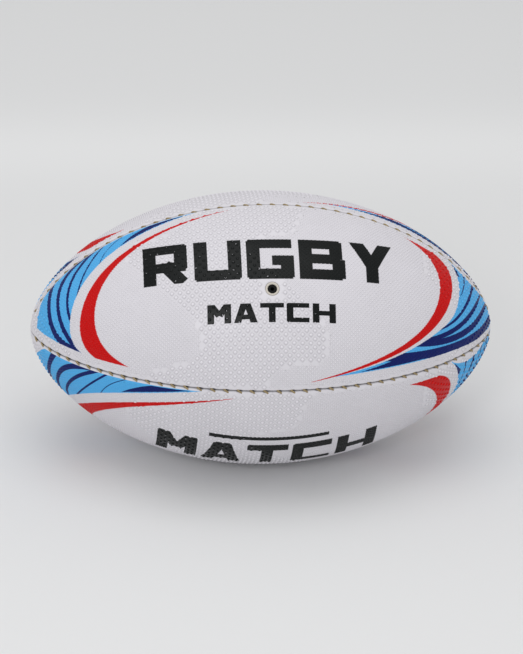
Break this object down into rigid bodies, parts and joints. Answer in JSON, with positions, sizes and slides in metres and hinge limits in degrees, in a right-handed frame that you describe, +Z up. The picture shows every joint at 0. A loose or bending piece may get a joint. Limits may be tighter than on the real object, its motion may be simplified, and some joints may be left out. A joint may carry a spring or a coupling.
{
  "type": "rugby ball",
  "caption": "Stitched four-panel oval rugby ball with a dimpled rubber skin, cloth backing, an air bladder and a needle valve.",
  "frame": {"origin": "centre of the ball, on its long axis", "axes": "+X along the long axis; +Z up, in a seam plane; -Y towards the viewer, in the other seam plane. The valve panel faces halfway between -Y and +Z"},
  "size_m": [0.2798, 0.165, 0.165],
  "materials": {
    "panel_rubber": "matte",
    "backing_cloth": "woven",
    "seam_thread": "waxed",
    "bladder_latex": "satin",
    "valve_rubber": "satin",
    "plug_rubber": "matte"
  },
  "bodies": {
    "ball": {"valve_panel_skin": "panel_rubber", "valve_panel_ply_1": "backing_cloth", "valve_panel_ply_2": "backing_cloth", "valve_panel_ply_3": "backing_cloth", "front_panel_skin": "panel_rubber", "front_panel_ply_1": "backing_cloth", "front_panel_ply_2": "backing_cloth", "front_panel_ply_3": "backing_cloth", "base_panel_skin": "panel_rubber", "base_panel_ply_1": "backing_cloth", "base_panel_ply_2": "backing_cloth", "base_panel_ply_3": "backing_cloth", "rear_panel_skin": "panel_rubber", "rear_panel_ply_1": "backing_cloth", "rear_panel_ply_2": "backing_cloth", "rear_panel_ply_3": "backing_cloth", "front_seam_thread": "seam_thread", "base_seam_thread": "seam_thread", "rear_seam_thread": "seam_thread", "top_seam_thread": "seam_thread", "bladder": "bladder_latex", "valve_patch": "backing_cloth", "valve_housing": "valve_rubber"},
    "plug": {"valve_plug": "plug_rubber"}
  },
  "joints": [
    {"name": "valve_plug_pull", "type": "slide", "parent": "ball", "child": "plug", "axis": [0, -0.7282, 0.6854], "range_m": [0, 0.022]}
  ]
}
